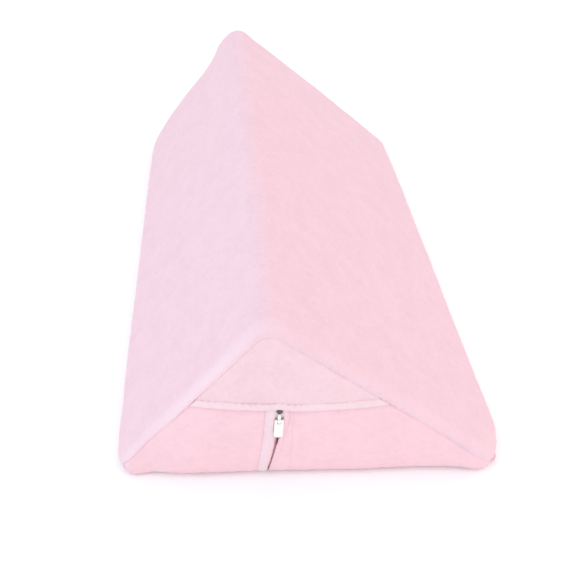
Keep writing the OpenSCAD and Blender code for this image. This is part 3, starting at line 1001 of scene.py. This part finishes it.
def maths(tree, operation, a, b):
    """Two numbers joined by a maths node."""
    node = add(tree, "ShaderNodeMath", operation=operation)
    plug(tree, node.inputs[0], a)
    plug(tree, node.inputs[1], b)
    return node.outputs[0]


def ramp(tree, source, stops):
    """A colour ramp with (place, colour) stops."""
    node = add(tree, "ShaderNodeValToRGB", Fac=source)
    elements = node.color_ramp.elements
    while len(elements) < len(stops):
        elements.new(0.5)
    for element, (place, colour) in zip(elements, stops):
        element.position = place
        element.color = (*colour, 1)
    return node.outputs["Color"]


def surface(tree, shader, colour, rough, height, strength, distance):
    """Gives the main shader its colour, its roughness and its bumps."""
    bump = add(tree, "ShaderNodeBump", Strength=strength, Distance=distance, Height=height)
    tune(tree, shader, Base_Color=colour, Roughness=rough, Normal=bump.outputs["Normal"])
    return bump


def scaled(colour, by):
    """A lighter or darker colour."""
    return tuple(min(1.0, c * by) for c in colour)


def paint_edge_highlight(tree, place, tone, pale):
    """Mixes a painted highlight into the colour over the rolled near edge, most of it on the left.
    """
    split = add(tree, "ShaderNodeSeparateXYZ", Vector=place).outputs
    edge = add(tree, "ShaderNodeMapRange", Value=split["Y"],
               From_Min=NEAR + 12 * MM, From_Max=NEAR + 2 * MM)
    aside = add(tree, "ShaderNodeMapRange", Value=split["X"],
                From_Min=-80 * MM, From_Max=-45 * MM, To_Min=1.0, To_Max=0.25)
    both = maths(tree, "MULTIPLY", edge.outputs["Result"], aside.outputs["Result"])
    mixed = add(tree, "ShaderNodeMix", data_type="RGBA", Factor=both, A=tone, B=(*pale, 1))
    return mixed.outputs["Result"]


def plush_material(name, colour, tufts=1.0, pale=None):
    """Short plush: mottled, with soft fuzz and tufts. Pale is the colour of the painted highlight
    over the rolled near edge."""
    material, tree, shader, place = node_material(name)
    mottle = noise(tree, place, 190)
    patches = noise(tree, place, 45, 3.0, 0.55)
    fibres = noise(tree, place, 900, 2.0)
    mix = maths(tree, "MULTIPLY", maths(tree, "ADD", mottle, patches), 0.5)
    tone = ramp(tree, mix, [(0.34, scaled(colour, 0.94)), (0.60, colour)])
    if pale:
        # Painted highlight over the rolled near edge
        tone = paint_edge_highlight(tree, place, tone, pale)
    fine = surface(tree, shader, tone, 0.95, fibres, 0.7 * tufts, 0.0005)
    low = add(tree, "ShaderNodeBump", Strength=0.5 * tufts, Distance=0.0014, Height=mottle)
    tune(tree, fine, Normal=low.outputs["Normal"])
    tune(tree, shader, Specular_IOR_Level=0.15, Sheen_Weight=0.2, Sheen_Roughness=0.45,
         Sheen_Tint=(1.0, 0.93, 0.96, 1))
    return material


def foam_material():
    """Open-cell foam: pale cream with fine cells."""
    material, tree, shader, place = node_material("foam_cells")
    cells = add(tree, "ShaderNodeTexVoronoi", Vector=place, Scale=900).outputs["Distance"]
    blotch = noise(tree, place, 25, 3.0, 0.5)
    tone = ramp(tree, blotch, [(0.3, (0.84, 0.78, 0.60)), (0.7, (0.90, 0.86, 0.72))])
    surface(tree, shader, tone, 0.9, cells, 0.6, 0.0005)
    return material


def woven_material(name, colour):
    """Herringbone-like tape: two crossed sets of fine ribs."""
    material, tree, shader, place = node_material(name)
    along, across = ribs(tree, place, 1100, 0.4, "X"), ribs(tree, place, 1500, 0.4, "DIAGONAL")
    mix = maths(tree, "MULTIPLY", along, across)
    tone = ramp(tree, mix, [(0.0, scaled(colour, 0.88)), (0.7, colour)])
    surface(tree, shader, tone, 0.8, mix, 0.5, 0.0003)
    return material


def thread_material(name, colour, twist=2600, rough=0.7):
    """Twisted thread or smooth filament: fine diagonal ribs."""
    material, tree, shader, place = node_material(name)
    twists = ribs(tree, place, twist, 1.5, "DIAGONAL")
    tone = ramp(tree, twists, [(0.1, scaled(colour, 0.85)), (0.8, colour)])
    surface(tree, shader, tone, rough, twists, 0.4, 0.0001)
    return material


def enamel_material(name, colour, worn, metallic=0.0):
    """Thin enamel over cast metal: slightly uneven, with a few rubbed spots."""
    material, tree, shader, place = node_material(name)
    uneven = noise(tree, place, 700)
    rubbed = noise(tree, place, 260, 4.0)
    tone = ramp(tree, rubbed, [(0.30, worn), (0.40, colour), (0.7, colour)])
    shine = ramp(tree, uneven, [(0.3, (0.28,) * 3), (0.7, (0.42,) * 3)])
    surface(tree, shader, tone, shine, uneven, 0.15, 0.0002)
    tune(tree, shader, Metallic=metallic, Coat_Weight=0.3, Coat_Roughness=0.25)
    return material


def floor_material():
    """Matt white, with barely visible blotches."""
    material, tree, shader, place = node_material("studio_floor")
    blotch = noise(tree, place, 6, 2.0, 0.5)
    tone = ramp(tree, blotch, [(0.3, (0.985, 0.985, 0.985)), (0.7, (1, 1, 1))])
    tune(tree, shader, Base_Color=tone, Roughness=0.9, Specular_IOR_Level=0.1)
    return material


# Every panel is one plush: the gusset and hem pinks are paler than the slope's as painted light, and
# the base pink is more saturated as painted shade
SLOPE_PINK = (0.838, 0.588, 0.666)
# Painted highlight: the paler pink laid over the slope panel's rolled near edge
ROLL_HIGHLIGHT_PINK = (0.86, 0.655, 0.72)
GUSSET_PINK = (0.857, 0.627, 0.684)
HEM_PINK = (0.852, 0.660, 0.714)
BASE_PINK = (0.887, 0.607, 0.673)

ENAMEL = (0.91, 0.90, 0.87)
GUNMETAL = (0.10, 0.085, 0.10)
THREAD_PINK = (0.93, 0.70, 0.79)
TAPE_PINK = (0.95, 0.52, 0.66)


def dress(obj, material, node=None):
    """Gives a sewn piece its material and its body, and hides the CAD node that it stands for."""
    obj.data.materials.append(material)
    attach(obj, "wedge")
    if node:
        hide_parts(node)
    return obj


def refinish(node, material):
    """Gives a CAD node that stays in view a better material."""
    data = frame["nodes"][node].data
    data.materials.clear()
    data.materials.append(material)


def cloth(obj, material, node):
    dress(obj, material, node)
    return obj


# ---- The object ----

build_camera()
build_studio()

# The slope plush carries a painted highlight over its rolled near edge
slope_cloth = plush_material("plush_slope", SLOPE_PINK, pale=ROLL_HIGHLIGHT_PINK)
gusset_cloth = plush_material("plush_gusset", GUSSET_PINK)
hem_cloth = plush_material("plush_hem", HEM_PINK, 0.6)
base_cloth = plush_material("plush_base", BASE_PINK, 0.8)
tape_weave = woven_material("zip_tape_weave", TAPE_PINK)
filament = thread_material("zip_filament", TAPE_PINK, 900, 0.35)
thread = thread_material("sewing_thread", THREAD_PINK)

foam = dress(build_foam(), foam_material(), "foam_core")

cloth(build_top_panel(), slope_cloth, "top_panel")
cloth(build_front_gusset(), gusset_cloth, "front_gusset")
cloth(build_hem_band(), hem_cloth, "front_hem_band")
for side, width, share in ((-1, ZIP_X - SIDE_SEAM_L, 0.97), (1, SIDE_SEAM_R - ZIP_X, 0.95)):
    cloth(build_lower_panel(side), base_cloth, f"base_panel_{word_for(side)}")
cloth(build_rear_gusset(), gusset_cloth, "rear_gusset")

# The left lip takes the paler hem plush as a painted highlight; the right one takes the base plush
for side, fabric in ((-1, hem_cloth), (1, base_cloth)):
    upper = build_lip(side, True)
    cloth(upper, fabric, None)
    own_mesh(upper)
    cloth(build_lip(side, False), fabric, None)

for word in ("left", "right"):
    cloth(build_tape(word), tape_weave, f"zip_tape_{word}")
    dress(build_coil(word), filament, f"zip_coil_{word}")

side_lines = [base_line(x, NEAR + 34 * MM, FAR - 34 * MM) for x in (SIDE_SEAM_L, SIDE_SEAM_R)]
centre_line = base_line(ZIP_X, ZIP_END + 5 * MM, FAR - 18 * MM)
for piece, node in (
    (build_hem_stitches(), "hem_stitching"),
    (build_placket_stitches(), "placket_stitching"),
    (overlock("front_overlock", [arch_line("near")]), "front_seam_overlock"),
    (overlock("rear_overlock", [arch_line("far")]), "rear_seam_overlock"),
    (overlock("side_overlocks", side_lines), "side_seam_overlocks"),
    (overlock("base_overlock", [centre_line]), "base_centre_overlock"),
):
    dress(piece, thread, node)

enamel = enamel_material("slider_enamel", ENAMEL, scaled(ENAMEL, 0.8))
gunmetal = enamel_material("stop_gunmetal", GUNMETAL, scaled(GUNMETAL, 2.0), 0.6)
for node in ("zip_slider", "zip_pull"):
    refinish(node, enamel)
dress(build_top_stop(), gunmetal, "zip_top_stop")
refinish("zip_bottom_stop", gunmetal)
